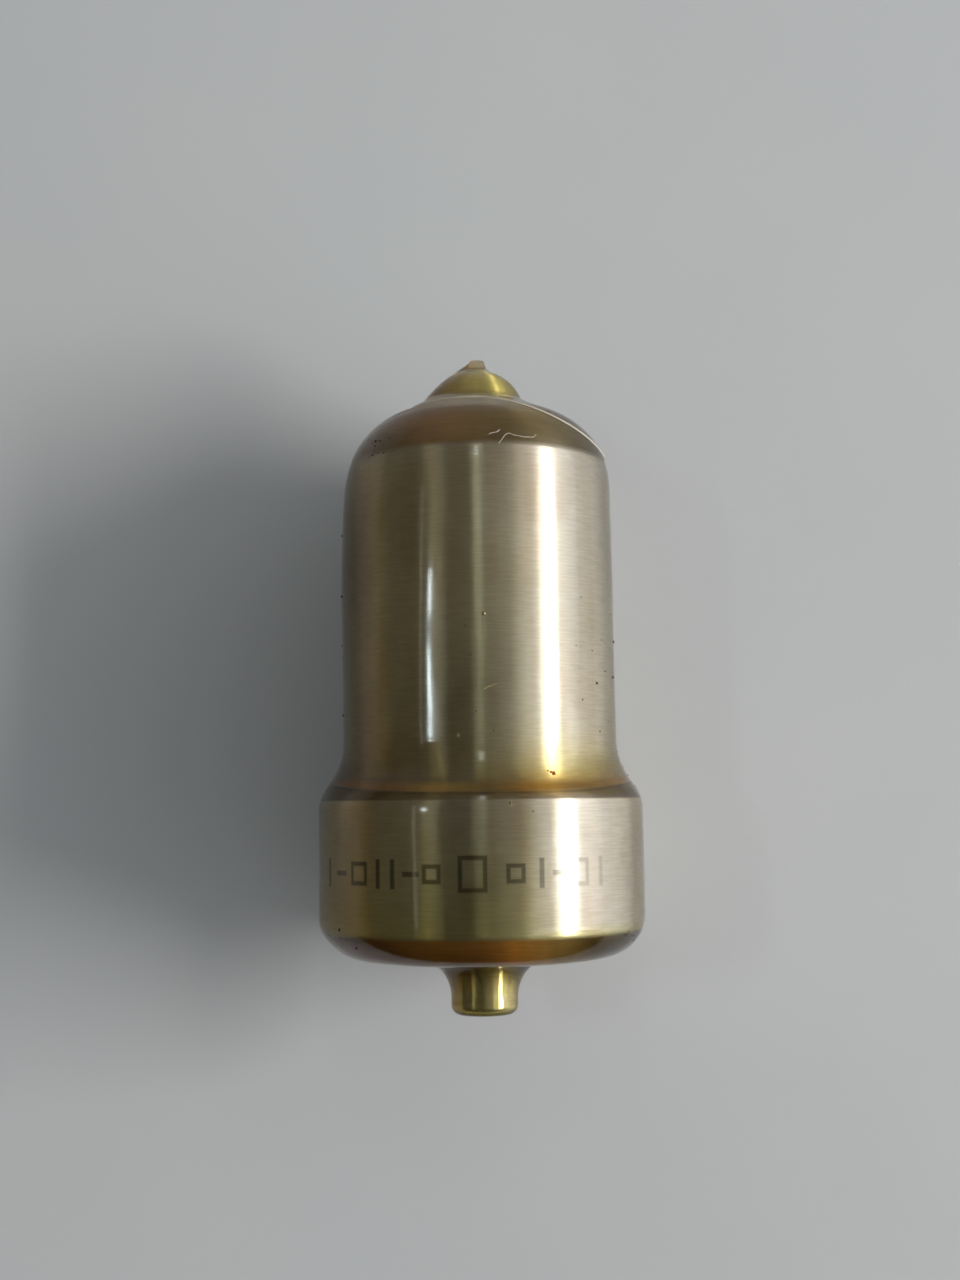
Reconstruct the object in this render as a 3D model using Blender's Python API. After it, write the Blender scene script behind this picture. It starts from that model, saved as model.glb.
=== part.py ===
"""Pintle nozzle of a diesel fuel injector, lying on its side in its peel-off protective coating.

Units are metres, +Z is up and the floor is z = 0. The nozzle's axis is parallel to Y, with the spray tip
towards +Y and the needle's pressure pin towards -Y. Every piece is turned about its own local Z and hangs
from the empty nozzle_axis, so a local z is a distance from the lapped sealing face towards the tip.

Three pieces: nozzle_body, needle_valve (slides in the body) and peel_coating (the skin around both).
Profiles are lists of (radius, distance from the sealing face).
"""

import math

import bmesh
import bpy
from mathutils import Matrix

MM = 0.001
SEGMENTS = 64
ARC_STEP = math.radians(12)

# Nozzle body, outside
COLLAR_R = 8.5 * MM
COLLAR_LENGTH = 8.2 * MM
SEALING_FACE_R = 7.0 * MM
COLLAR_CHAMFER_LENGTH = 1.2 * MM
SHANK_R = 7.05 * MM
SHANK_END = 26.5 * MM
EDGE_BREAK = 0.15 * MM
NOSE_CHAMFER_R = 6.2 * MM
NOSE_CHAMFER_END = 27.7 * MM
TIP_CENTRE = 29.6 * MM
TIP_R = 2.3 * MM
TIP_FOOT = 30.0 * MM

# Nozzle body, inside
GUIDE_R = 3.0 * MM
GUIDE_CHAMFER = 0.3 * MM
GUIDE_END = 15.5 * MM
CHAMBER_R = 4.3 * MM
CHAMBER_START = 17.0 * MM
CHAMBER_END = 19.6 * MM
WELL_R = 2.6 * MM
WELL_START = 21.3 * MM
SEAT_HALF_ANGLE = math.radians(30)
ORIFICE_R = 0.56 * MM
ORIFICE_START = 30.9 * MM
GROOVE_MEAN_R = 5.5 * MM
GROOVE_WIDTH = 1.2 * MM
GROOVE_DEPTH = 0.8 * MM
DUCT_COUNT = 3
DUCT_R = 0.75 * MM
DUCT_INNER_R = 3.9 * MM
DUCT_END = 18.6 * MM

# Needle valve
LIFT = 0.8 * MM
RUNNING_CLEARANCE = 0.03 * MM
PIN_R = 1.6 * MM
PIN_OUT = 3.15 * MM
PIN_EDGE = 0.25 * MM
NECK_R = 1.45 * MM
NEEDLE_TOP = LIFT + 0.05 * MM
NEEDLE_GUIDE_END = 15.0 * MM
NEEDLE_CONE_END = 17.2 * MM
NEEDLE_SHANK_R = 2.0 * MM
GUIDE_GROOVES = (5.0 * MM, 8.0 * MM, 11.0 * MM)
GUIDE_GROOVE_WIDTH = 0.4 * MM
GUIDE_GROOVE_DEPTH = 0.15 * MM
SEAT_GAP = 0.03 * MM
PINTLE_R = 0.5 * MM
PINTLE_END = 32.0 * MM

# Peel-off coating
COAT_GAP = 0.03 * MM
COAT_END_FACE = -0.3 * MM
COAT_COLLAR_R = 8.8 * MM
COAT_SHANK_R = 7.42 * MM
COAT_PIN_R = 1.82 * MM
COAT_PIN_END = -3.4 * MM
COAT_PIN_ROUND = 0.5 * MM
COAT_PIN_FLARE = 2.6 * MM
COAT_CHAMFER_ROUND = 2.3 * MM
COAT_SHOULDER_ROUND = 2.0 * MM
COAT_SHOULDER_START = 7.6 * MM
COAT_SHOULDER_TURN = math.radians(35)
COAT_SHOULDER_SLOPE = 0.6 * MM
COAT_TAPER_START = 20.0 * MM
COAT_NOSE_START = 25.45 * MM
COAT_NOSE_START_R = 7.35 * MM
COAT_NOSE_ROUND = 4.3 * MM
COAT_NOSE_TURN = math.radians(65)
COAT_DOME_R = 2.6 * MM
COAT_DOME_CENTRE = (0.1 * MM, 29.6 * MM)
COAT_DOME_FOOT = (3.35 * MM, 30.0 * MM)
NIB_R = 0.44 * MM
NIB_FOOT_R = 0.6 * MM
NIB_FOOT = 32.3 * MM
NIB_END = 32.8 * MM
NIB_HOLE_R = 0.2 * MM

# Where the axis lies: a flat of the coating's outermost ring is on the floor, and the origin is below the
# middle of the length.
AXIS_HEIGHT = COAT_COLLAR_R * math.cos(math.pi / SEGMENTS)
MID_LENGTH = (COAT_PIN_END + NIB_END) / 2


def arc(centre, radius, start, end):
    """Points of a circular arc in a profile. Angle 0 points away from the axis and 90 degrees to the tip."""
    steps = max(2, round(abs(end - start) / ARC_STEP))
    angles = [start + (end - start) * i / steps for i in range(steps + 1)]
    return [(centre[0] + radius * math.cos(a), centre[1] + radius * math.sin(a)) for a in angles]


def steel(name, colour, roughness):
    material = bpy.data.materials.new(name)
    material.use_nodes = True
    shader = material.node_tree.nodes["Principled BSDF"]
    shader.inputs["Base Color"].default_value = (*colour, 1)
    shader.inputs["Metallic"].default_value = 1
    shader.inputs["Roughness"].default_value = roughness
    material.diffuse_color = (*colour, 1)
    return material


def amber_film(name):
    material = bpy.data.materials.new(name)
    material.use_nodes = True
    shader = material.node_tree.nodes["Principled BSDF"]
    shader.inputs["Base Color"].default_value = (0.62, 0.44, 0.12, 1)
    shader.inputs["Roughness"].default_value = 0.12
    shader.inputs["Transmission Weight"].default_value = 0.9
    material.diffuse_color = (0.62, 0.44, 0.12, 0.5)
    return material


def turned(name, profile, closed, axis, material):
    """A solid of revolution about its own Z. An open profile starts and ends on the axis."""
    bm = bmesh.new()
    verts = [bm.verts.new((radius, 0, along)) for radius, along in profile]
    edges = [bm.edges.new(pair) for pair in zip(verts, verts[1:])]
    if closed:
        edges.append(bm.edges.new((verts[-1], verts[0])))
    half_step = Matrix.Rotation(math.pi / SEGMENTS, 3, "Z")
    bmesh.ops.rotate(bm, verts=verts, matrix=half_step)
    bmesh.ops.spin(
        bm, geom=verts + edges, axis=(0, 0, 1), cent=(0, 0, 0), angle=2 * math.pi, steps=SEGMENTS, use_merge=True
    )
    bmesh.ops.remove_doubles(bm, verts=bm.verts, dist=0.001 * MM)
    bmesh.ops.recalc_face_normals(bm, faces=bm.faces)
    mesh = bpy.data.meshes.new(name)
    bm.to_mesh(mesh)
    bm.free()
    mesh.materials.append(material)
    mesh.shade_smooth()
    mesh.set_sharp_from_angle(angle=math.radians(30))
    piece = bpy.data.objects.new(name, mesh)
    bpy.context.collection.objects.link(piece)
    piece.parent = axis
    return piece


def tip_arc(radius, inner_r):
    """The round tip, or the coating's inner face around it, from inner_r out to where the nose cone starts."""
    foot = math.asin((TIP_FOOT - TIP_CENTRE) / TIP_R)
    return arc((0, TIP_CENTRE), radius, math.acos(inner_r / radius), foot)


def body_outside():
    """From the sealing face's rim to the spray orifice."""
    collar_rim = [
        (SEALING_FACE_R, 0),
        (COLLAR_R, COLLAR_CHAMFER_LENGTH),
        (COLLAR_R, COLLAR_LENGTH - EDGE_BREAK),
        (COLLAR_R - EDGE_BREAK, COLLAR_LENGTH),
    ]
    shank = [
        (SHANK_R, COLLAR_LENGTH),
        (SHANK_R, SHANK_END - EDGE_BREAK),
        (SHANK_R - EDGE_BREAK, SHANK_END),
        (NOSE_CHAMFER_R, NOSE_CHAMFER_END),
    ]
    return collar_rim + shank + tip_arc(TIP_R, ORIFICE_R)[::-1]


def body_inside():
    """From the spray orifice back to the sealing face, with the fuel groove cut in that face."""
    seat_start = ORIFICE_START - (WELL_R - ORIFICE_R) / math.tan(SEAT_HALF_ANGLE)
    bore = [
        (ORIFICE_R, ORIFICE_START),
        (WELL_R, seat_start),
        (WELL_R, WELL_START),
        (CHAMBER_R, CHAMBER_END),
        (CHAMBER_R, CHAMBER_START),
        (GUIDE_R, GUIDE_END),
        (GUIDE_R, GUIDE_CHAMFER),
        (GUIDE_R + GUIDE_CHAMFER, 0),
    ]
    inner, outer = GROOVE_MEAN_R - GROOVE_WIDTH / 2, GROOVE_MEAN_R + GROOVE_WIDTH / 2
    groove = [(inner, 0), (inner, GROOVE_DEPTH), (outer, GROOVE_DEPTH), (outer, 0)]
    return bore + groove


def duct_cutter(number, axis):
    """A drill for one fuel duct, from the groove in the sealing face down to the pressure chamber."""
    start = GROOVE_DEPTH / 2
    run, drop = DUCT_END - start, GROOVE_MEAN_R - DUCT_INNER_R
    bm = bmesh.new()
    bmesh.ops.create_cone(
        bm, cap_ends=True, segments=20, radius1=DUCT_R, radius2=DUCT_R, depth=math.hypot(run, drop)
    )
    lean = Matrix.Rotation(-math.atan2(drop, run), 4, "Y")
    middle = Matrix.Translation(((GROOVE_MEAN_R + DUCT_INNER_R) / 2, 0, (start + DUCT_END) / 2))
    around = Matrix.Rotation(2 * math.pi * number / DUCT_COUNT, 4, "Z")
    bmesh.ops.transform(bm, matrix=around @ middle @ lean, verts=bm.verts)
    mesh = bpy.data.meshes.new(f"duct_drill_{number + 1}")
    bm.to_mesh(mesh)
    bm.free()
    cutter = bpy.data.objects.new(mesh.name, mesh)
    bpy.context.collection.objects.link(cutter)
    cutter.parent = axis
    cutter.hide_render = True
    cutter.display_type = "WIRE"
    return cutter


def make_nozzle_body(axis, material):
    body = turned("nozzle_body", body_outside() + body_inside(), True, axis, material)
    for number in range(DUCT_COUNT):
        cut = body.modifiers.new(f"fuel_duct_{number + 1}", "BOOLEAN")
        cut.operation = "DIFFERENCE"
        cut.solver = "EXACT"
        cut.object = duct_cutter(number, axis)
    return body


def make_needle_valve(axis, material):
    """One ground needle: pressure pin, guide with three oil grooves, shank, seat cone and pintle."""
    guide_r = GUIDE_R - RUNNING_CLEARANCE
    grooves = []
    for start in GUIDE_GROOVES:
        bottom = guide_r - GUIDE_GROOVE_DEPTH
        grooves += [
            (guide_r, start),
            (bottom, start + GUIDE_GROOVE_WIDTH / 4),
            (bottom, start + GUIDE_GROOVE_WIDTH * 3 / 4),
            (guide_r, start + GUIDE_GROOVE_WIDTH),
        ]
    # The needle's seat cone runs parallel to the body's, SEAT_GAP away from it along the normal.
    apex = ORIFICE_START + ORIFICE_R / math.tan(SEAT_HALF_ANGLE) - SEAT_GAP / math.sin(SEAT_HALF_ANGLE)
    cone_start = apex - NEEDLE_SHANK_R / math.tan(SEAT_HALF_ANGLE)
    pintle_start = apex - PINTLE_R / math.tan(SEAT_HALF_ANGLE)
    profile = [
        (0, -PIN_OUT),
        (PIN_R - PIN_EDGE, -PIN_OUT),
        (PIN_R, -PIN_OUT + PIN_EDGE),
        (PIN_R, 0),
        (NECK_R, PIN_R - NECK_R),
        (NECK_R, NEEDLE_TOP),
        (guide_r - GUIDE_CHAMFER, NEEDLE_TOP),
        (guide_r, NEEDLE_TOP + GUIDE_CHAMFER),
        *grooves,
        (guide_r, NEEDLE_GUIDE_END),
        (NEEDLE_SHANK_R, NEEDLE_CONE_END),
        (NEEDLE_SHANK_R, cone_start),
        (PINTLE_R, pintle_start),
        (PINTLE_R, PINTLE_END),
        (0, PINTLE_END),
    ]
    return turned("needle_valve", profile, False, axis, material)


def coating_outside():
    """From the middle of the pin's covered end to the rim of the nib."""
    pin_end = arc((COAT_PIN_R - COAT_PIN_ROUND, COAT_PIN_END + COAT_PIN_ROUND), COAT_PIN_ROUND, -math.pi / 2, 0)
    flare_centre = (COAT_PIN_R + COAT_PIN_FLARE, COAT_END_FACE - COAT_PIN_FLARE)
    flare = arc(flare_centre, COAT_PIN_FLARE, math.pi, math.pi / 2)
    rim_centre = (COAT_COLLAR_R - COAT_CHAMFER_ROUND, COAT_END_FACE + COAT_CHAMFER_ROUND)
    rim = arc(rim_centre, COAT_CHAMFER_ROUND, -math.pi / 2, 0)

    turn = COAT_SHOULDER_TURN
    shoulder_centre = (COAT_COLLAR_R - COAT_SHOULDER_ROUND, COAT_SHOULDER_START)
    shoulder = arc(shoulder_centre, COAT_SHOULDER_ROUND, 0, turn)
    foot_r = shoulder[-1][0] - COAT_SHOULDER_SLOPE * math.sin(turn)
    foot_z = shoulder[-1][1] + COAT_SHOULDER_SLOPE * math.cos(turn)
    hollow = (foot_r - COAT_SHANK_R) / (1 - math.cos(turn))
    hollow_centre = (COAT_SHANK_R + hollow, foot_z + hollow * math.sin(turn))
    fillet = arc(hollow_centre, hollow, math.pi + turn, math.pi)

    nose_centre = (COAT_NOSE_START_R - COAT_NOSE_ROUND, COAT_NOSE_START)
    nose = arc(nose_centre, COAT_NOSE_ROUND, 0, COAT_NOSE_TURN)
    dome = arc(COAT_DOME_CENTRE, COAT_DOME_R, math.radians(20), math.radians(68))
    nib = [(NIB_FOOT_R, NIB_FOOT), (NIB_R, NIB_END - EDGE_BREAK / 2), (NIB_R - EDGE_BREAK / 2, NIB_END)]
    return [
        (0, COAT_PIN_END),
        *pin_end,
        *flare,
        *rim,
        *shoulder,
        *fillet,
        (COAT_SHANK_R, COAT_TAPER_START),
        *nose,
        COAT_DOME_FOOT,
        *dome,
        *nib,
    ]


def coating_inside():
    """From the nib's hole back to the axis, COAT_GAP outside the two steel pieces."""
    gap = COAT_GAP
    shoulder = COLLAR_LENGTH + gap
    return [
        (NIB_HOLE_R, NIB_END),
        (NIB_HOLE_R, PINTLE_END + gap),
        (PINTLE_R + gap, PINTLE_END + gap),
        *tip_arc(TIP_R + gap, PINTLE_R + gap),
        (NOSE_CHAMFER_R + gap / 2, NOSE_CHAMFER_END + gap),
        (SHANK_R - EDGE_BREAK + gap, SHANK_END + gap / 2),
        (SHANK_R + gap, SHANK_END - EDGE_BREAK + gap / 2),
        (SHANK_R + gap, shoulder),
        (COLLAR_R - EDGE_BREAK + gap / 2, shoulder),
        (COLLAR_R + gap, COLLAR_LENGTH - EDGE_BREAK + gap / 2),
        (COLLAR_R + gap, COLLAR_CHAMFER_LENGTH - gap / 2),
        (SEALING_FACE_R + gap / 2, -gap),
        (PIN_R + gap, -gap),
        (PIN_R + gap, -PIN_OUT + PIN_EDGE - gap / 2),
        (PIN_R - PIN_EDGE + gap / 2, -PIN_OUT - gap),
        (0, -PIN_OUT - gap),
    ]


def make_peel_coating(axis, material):
    return turned("peel_coating", coating_outside() + coating_inside(), False, axis, material)


def main():
    for old in list(bpy.data.objects):
        bpy.data.objects.remove(old, do_unlink=True)
    axis = bpy.data.objects.new("nozzle_axis", None)
    bpy.context.collection.objects.link(axis)
    axis.location = (0, -MID_LENGTH, AXIS_HEIGHT)
    axis.rotation_euler = (-math.pi / 2, 0, 0)
    make_nozzle_body(axis, steel("ground_steel", (0.56, 0.53, 0.47), 0.3))
    make_needle_valve(axis, steel("lapped_steel", (0.62, 0.6, 0.55), 0.12))
    make_peel_coating(axis, amber_film("amber_coating"))


main()
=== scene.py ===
"""Looks of the coated pintle nozzle: smooth turned steel, a wavy amber coating over it, and the light.

Everything is in metres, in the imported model's frame: the nozzle's axis is parallel to Y, the tip is
towards +Y, and the floor is z = 0. "along" is a distance from the lapped sealing face towards the tip.
A profile is a list of (radius, along), and an angle around the axis is 0 on top and grows towards +X.
"""

import math
import random

import bmesh
import bpy
import numpy as np
from mathutils import Matrix, Quaternion, Vector, noise


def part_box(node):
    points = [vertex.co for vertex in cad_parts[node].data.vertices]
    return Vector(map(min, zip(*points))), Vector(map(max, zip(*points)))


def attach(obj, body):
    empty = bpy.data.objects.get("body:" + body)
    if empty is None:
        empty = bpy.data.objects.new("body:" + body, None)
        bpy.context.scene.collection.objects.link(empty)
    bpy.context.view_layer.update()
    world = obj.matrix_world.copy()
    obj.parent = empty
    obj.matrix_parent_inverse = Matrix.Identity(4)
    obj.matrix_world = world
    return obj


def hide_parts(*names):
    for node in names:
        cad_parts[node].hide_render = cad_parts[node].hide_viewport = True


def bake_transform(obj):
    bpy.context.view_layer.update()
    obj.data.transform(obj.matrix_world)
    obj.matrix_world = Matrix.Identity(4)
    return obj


MM = 0.001
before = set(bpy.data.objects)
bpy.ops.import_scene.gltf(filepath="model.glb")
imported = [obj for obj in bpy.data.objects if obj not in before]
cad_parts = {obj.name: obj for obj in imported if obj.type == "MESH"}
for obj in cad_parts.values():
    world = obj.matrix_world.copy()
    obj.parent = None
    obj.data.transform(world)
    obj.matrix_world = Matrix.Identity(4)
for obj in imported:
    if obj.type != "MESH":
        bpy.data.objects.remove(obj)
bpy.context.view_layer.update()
steel_low, steel_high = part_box("nozzle_body")
coat_low, coat_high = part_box("peel_coating")
needle_low, needle_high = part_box("needle_valve")

AXIS_X = (steel_low.x + steel_high.x) / 2
AXIS_Z = (steel_low.z + steel_high.z) / 2
FACE_Y = steel_low.y

# Sizes shared with the CAD model
COLLAR_R, COLLAR_LENGTH = 8.5 * MM, 8.2 * MM
SEALING_FACE_R, COLLAR_CHAMFER_LENGTH = 7.0 * MM, 1.2 * MM
SHANK_R, SHANK_END = 7.05 * MM, 26.5 * MM
NOSE_CHAMFER_R, NOSE_CHAMFER_END = 6.2 * MM, 27.7 * MM
TIP_CENTRE, TIP_R, TIP_FOOT = 29.6 * MM, 2.3 * MM, 30.0 * MM
BODY_END = steel_high.y - FACE_Y
ORIFICE_R, ORIFICE_START = 0.56 * MM, 30.9 * MM
PIN_R, PIN_OUT = 1.6 * MM, FACE_Y - needle_low.y
PINTLE_R, PINTLE_END = 0.5 * MM, needle_high.y - FACE_Y
GUIDE_R, OIL_GROOVES = 2.97 * MM, (5.0 * MM, 8.0 * MM, 11.0 * MM)
BORE_R, CHAMBER_R, WELL_R = 3.0 * MM, 4.3 * MM, 2.6 * MM
FUEL_GROOVE_IN, FUEL_GROOVE_OUT, FUEL_GROOVE_DEPTH = 4.9 * MM, 6.1 * MM, 0.8 * MM
DUCTS, DUCT_R, DUCT_START, DUCT_END = 3, 0.75 * MM, (5.5 * MM, 0.4 * MM), (3.9 * MM, 18.6 * MM)
COAT_PIN_END = coat_low.y - FACE_Y
NIB_END = coat_high.y - FACE_Y
COAT_COLLAR_R = (coat_high.x - coat_low.x) / 2
COAT_SHANK_R = 7.42 * MM
COAT_END_FACE = -0.3 * MM
GAP = 0.03 * MM

# The coating's look, in mm
RIDGE_TOP, RIDGE_DROP = 29.8, 2.9  # the crease at the dome's foot: over the top, and how far it dips to +X
SUNK = 0.01  # how deep dirt and fibres sit in the coating's face

# How finely the meshes are made
FINE_ROWS_FROM = 26.8 * MM
FILLET_PARTS = 5
BODY_SEGMENTS, NEEDLE_SEGMENTS, COAT_SEGMENTS = 256, 128, 288
ABSORPTION = 420.0  # of the coating, per metre
KEY = 21.0  # brightness of the window
WINDOW_COLOUR, COLD_WHITE = (1.0, 0.985, 0.94), (0.85, 0.98, 1.0)
ENDS = 0.4  # brightness of the room in front of and behind the nozzle


# ---------------------------------------------------------------- profiles


def arc(centre, radius, start, end, step=math.radians(4)):
    """Points of an arc in a profile. Angles are in degrees, 0 away from the axis and 90 to the tip."""
    start, end = math.radians(start), math.radians(end)
    steps = max(3, round(abs(end - start) / step))
    angles = [start + (end - start) * i / steps for i in range(steps + 1)]
    return [(centre[0] + radius * math.cos(a), centre[1] + radius * math.sin(a)) for a in angles]


def rounded(corners):
    """A profile from (radius, along, fillet) corners, each rounded by its fillet."""
    points = []
    for i, (r, along, fillet) in enumerate(corners):
        corner = Vector((r, along))
        if not fillet:
            points.append((r, along))
            continue
        back = (Vector(corners[i - 1][:2]) - corner).normalized()
        ahead = (Vector(corners[i + 1][:2]) - corner).normalized()
        half = back.angle(ahead) / 2
        centre = corner + (back + ahead).normalized() * (fillet / math.sin(half))
        first = (corner + back * (fillet / math.tan(half)) - centre).normalized()
        last = (corner + ahead * (fillet / math.tan(half)) - centre).normalized()
        for part in range(FILLET_PARTS + 1):
            points.append(tuple(centre + first.slerp(last, part / FILLET_PARTS) * fillet))
    return points


def spaced(points, most):
    """The same outline with extra points, so that none are further apart than most."""
    found = [points[0]]
    for a, b in zip(points, points[1:]):
        parts = max(1, math.ceil(math.dist(a, b) / most))
        for i in range(1, parts + 1):
            found.append((a[0] + (b[0] - a[0]) * i / parts, a[1] + (b[1] - a[1]) * i / parts))
    return found


def smooth_piece(name, bm):
    """An object with smooth faces from a bmesh, which is used up."""
    mesh = bpy.data.meshes.new(name)
    bm.to_mesh(mesh)
    bm.free()
    mesh.shade_smooth()
    return placed(name, mesh)


def placed(name, data):
    """An object in the scene for a mesh, curve, lamp or camera."""
    thing = bpy.data.objects.new(name, data)
    bpy.context.scene.collection.objects.link(thing)
    return thing


def turned(name, profile, segments, closed, relief=None, outer_rows=0):
    """A solid of revolution about the nozzle's axis.

    relief gives each point's move outward and towards the tip. Faces between the first outer_rows points
    of the profile get the attribute outer_side."""
    ring = np.array(profile)
    along = np.roll(ring, -1, 0) - np.roll(ring, 1, 0)
    if not closed:
        along[0], along[-1] = ring[1] - ring[0], ring[-1] - ring[-2]
    normal = np.stack([along[:, 1], -along[:, 0]], 1)
    normal /= np.linalg.norm(normal, axis=1, keepdims=True) + 1e-12
    angles = np.arange(segments) * 2 * math.pi / segments
    outward, forward = relief(ring, normal, angles) if relief else (np.zeros((len(ring), segments)),) * 2
    radius = ring[:, :1] + outward
    distance = ring[:, 1:] + forward
    on_axis = ring[:, 0] < 1e-7
    radius[on_axis] = 0
    x = AXIS_X + radius * np.sin(angles)
    z = AXIS_Z + radius * np.cos(angles)
    points = np.stack([x, FACE_Y + distance, z], 2).reshape(-1, 3)
    bm = bmesh.new()
    outer_side = bm.faces.layers.float.new("outer_side")
    verts = [bm.verts.new(p) for p in points]
    rows = list(range(len(ring)))
    for low, high in zip(rows, rows[1:] + rows[:1] if closed else rows[1:]):
        for i in range(segments):
            j = (i + 1) % segments
            here, there = low * segments, high * segments
            face = bm.faces.new([verts[k] for k in (here + i, here + j, there + j, there + i)])
            face[outer_side] = 1 if high < outer_rows else 0
    bmesh.ops.remove_doubles(bm, verts=bm.verts, dist=1e-8)
    bmesh.ops.recalc_face_normals(bm, faces=bm.faces)
    return smooth_piece(name, bm)


# ---------------------------------------------------------------- steel pieces


def tip_arc(radius, inner_r):
    """The round tip, or the coating's inner face around it, from where the nose cone ends in to inner_r."""
    foot = math.degrees(math.asin((TIP_FOOT - TIP_CENTRE) / TIP_R))
    return arc((0, TIP_CENTRE), radius, foot, math.degrees(math.acos(inner_r / radius)))


def body_profile():
    """Outside and tip, then back inside by seat, well, chamber and needle bore to the fuel groove."""
    outside = rounded(
        [
            (SEALING_FACE_R - 0.3 * MM, 0, 0),
            (SEALING_FACE_R, 0, 0.08 * MM),
            (COLLAR_R, COLLAR_CHAMFER_LENGTH, 0.15 * MM),
            (COLLAR_R, COLLAR_LENGTH, 0.15 * MM),
            (SHANK_R, COLLAR_LENGTH, 0.1 * MM),
            (SHANK_R, SHANK_END, 0.12 * MM),
            (NOSE_CHAMFER_R, NOSE_CHAMFER_END, 0.5 * MM),
            (2.9 * MM, 29.6 * MM, 0),
        ]
    )
    tip = tip_arc(TIP_R, ORIFICE_R)
    inside = [
        (ORIFICE_R, ORIFICE_START),
        (WELL_R, 27.37 * MM),
        (WELL_R, 21.3 * MM),
        (CHAMBER_R, 19.6 * MM),
        (CHAMBER_R, 17.0 * MM),
        (BORE_R, 15.5 * MM),
        (BORE_R, 0.3 * MM),
        (BORE_R + 0.3 * MM, 0),
        (FUEL_GROOVE_IN, 0),
        (FUEL_GROOVE_IN, FUEL_GROOVE_DEPTH),
        (FUEL_GROOVE_OUT, FUEL_GROOVE_DEPTH),
        (FUEL_GROOVE_OUT, 0),
    ]
    return outside + tip + inside


def drill_ducts(body):
    """Cut the slanting fuel ducts, from the groove in the sealing face down to the pressure chamber."""
    for number in range(DUCTS):
        turn = Quaternion((0, 1, 0), 2 * math.pi * number / DUCTS)
        start, end = (turn @ Vector((r, FACE_Y + along, 0)) for r, along in (DUCT_START, DUCT_END))
        bpy.ops.mesh.primitive_cylinder_add(vertices=32, radius=DUCT_R, depth=(end - start).length)
        drill = bpy.context.object
        drill.location = (start + end) / 2 + Vector((AXIS_X, 0, AXIS_Z))
        drill.rotation_mode = "QUATERNION"
        drill.rotation_quaternion = (end - start).to_track_quat("Z", "Y")
        cut = body.modifiers.new(f"fuel_duct_{number + 1}", "BOOLEAN")
        cut.operation = "DIFFERENCE"
        cut.solver = "EXACT"
        cut.object = drill
        bpy.context.view_layer.objects.active = body
        bpy.ops.object.modifier_apply(modifier=cut.name)
        bpy.data.objects.remove(drill)


def needle_profile():
    """Pressure pin, neck, guide with its oil grooves, pressure cone, shank, seat cone and pintle."""
    grooves = []
    for start in OIL_GROOVES:
        for along, depth in ((0, 0), (0.1, 0.15), (0.3, 0.15), (0.4, 0)):
            grooves.append((GUIDE_R - depth * MM, start + along * MM, 0))
    return rounded(
        [
            (0, -PIN_OUT, 0),
            (PIN_R, -PIN_OUT, 0.25 * MM),
            (PIN_R, 0, 0.1 * MM),
            (1.45 * MM, 0.2 * MM, 0),
            (1.45 * MM, 0.85 * MM, 0),
            (GUIDE_R, 0.85 * MM, 0.2 * MM),
            *grooves,
            (GUIDE_R, 15.0 * MM, 0.2 * MM),
            (2.0 * MM, 17.2 * MM, 0.2 * MM),
            (2.0 * MM, 28.3 * MM, 0),
            (PINTLE_R, 30.9 * MM, 0),
            (PINTLE_R, PINTLE_END, 0.1 * MM),
            (0, PINTLE_END, 0),
        ]
    )


# ---------------------------------------------------------------- coating


def coating_outside():
    """From the pin's end over flare, rim, collar, shoulder, shank and nose to the dome and its nib."""
    pin_r, pin_edge, flare_r, rim_r = 1.82 * MM, 0.5 * MM, 2.2 * MM, 2.3 * MM
    shoulder_r, nose_r, dome_r = 2.0 * MM, 4.3 * MM, 2.6 * MM
    lean, slope = 35, 0.6 * MM
    pin_end = arc((pin_r - pin_edge, COAT_PIN_END + pin_edge), pin_edge, -90, 0)
    flare = arc((pin_r + flare_r, COAT_END_FACE - flare_r), flare_r, 180, 90)
    rim = arc((COAT_COLLAR_R - rim_r, COAT_END_FACE + rim_r), rim_r, -90, 0)
    shoulder = arc((COAT_COLLAR_R - shoulder_r, 7.6 * MM), shoulder_r, 0, lean)
    turn = math.radians(lean)
    foot_r = shoulder[-1][0] - slope * math.sin(turn)
    foot_along = shoulder[-1][1] + slope * math.cos(turn)
    hollow = (foot_r - COAT_SHANK_R) / (1 - math.cos(turn))
    fillet = arc((COAT_SHANK_R + hollow, foot_along + hollow * math.sin(turn)), hollow, 180 + lean, 180)
    nose = arc((7.35 * MM - nose_r, 25.45 * MM), nose_r, 0, 65)
    dome = arc((0.1 * MM, TIP_CENTRE), dome_r, 20, 68)
    nib = [(0.6 * MM, 32.3 * MM), (0.5 * MM, 32.5 * MM)]
    nib += [(0.44 * MM, NIB_END - 0.05 * MM), (0.4 * MM, NIB_END)]
    return [
        (0, COAT_PIN_END),
        *pin_end,
        *flare,
        *rim,
        *shoulder,
        *fillet,
        (COAT_SHANK_R, 20.0 * MM),
        *nose,
        (3.35 * MM, 30.0 * MM),
        *dome,
        *nib,
    ]


def coating_inside():
    """Back from the nib to the pin's end, a hair's breadth off the steel."""
    return [
        (0.2 * MM, NIB_END),
        (0.2 * MM, PINTLE_END + GAP),
        (PINTLE_R + GAP, PINTLE_END + GAP),
        *tip_arc(TIP_R + GAP, PINTLE_R + GAP)[::-1],
        (NOSE_CHAMFER_R + GAP / 2, NOSE_CHAMFER_END + GAP),
        (SHANK_R + GAP, SHANK_END + GAP / 2),
        (SHANK_R + GAP, COLLAR_LENGTH + GAP),
        (COLLAR_R + GAP, COLLAR_LENGTH + GAP),
        (COLLAR_R + GAP, COLLAR_CHAMFER_LENGTH - GAP / 2),
        (SEALING_FACE_R + GAP / 2, -GAP),
        (PIN_R + GAP, -GAP),
        (PIN_R + GAP, -PIN_OUT - GAP),
        (0, -PIN_OUT - GAP),
    ]


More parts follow.
